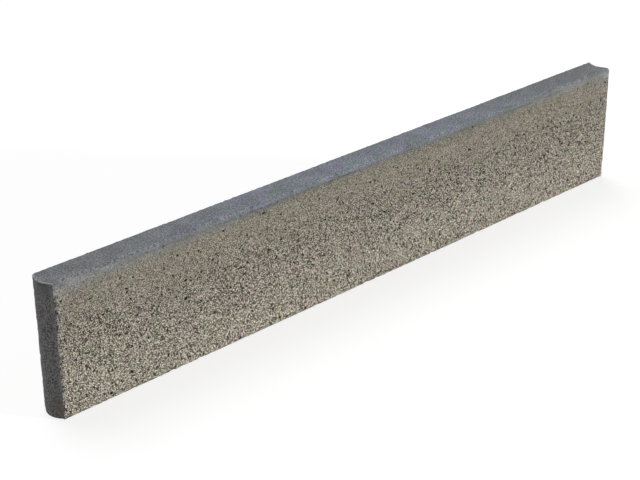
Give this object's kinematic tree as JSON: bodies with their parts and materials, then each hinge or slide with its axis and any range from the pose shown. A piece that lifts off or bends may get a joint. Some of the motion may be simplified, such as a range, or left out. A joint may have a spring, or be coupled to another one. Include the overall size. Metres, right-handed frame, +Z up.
{
  "type": "concrete kerb stone",
  "caption": "Slim upright edging kerb cast in concrete, with a rounded tongue at one end, a matching groove at the other and rounded top edges.",
  "frame": {"origin": "on the ground, in the middle of the stone's overall length and of its thickness", "axes": "+X along the stone from the tongue end to the groove end, +Y through the thickness from the front face to the back face, +Z up"},
  "size_m": [1.0069, 0.04, 0.175],
  "materials": {
    "concrete": "open-textured grey-beige concrete on the long faces, denser and bluer on the top"
  },
  "bodies": {
    "root": {"kerb_stone": "concrete"}
  },
  "joints": []
}
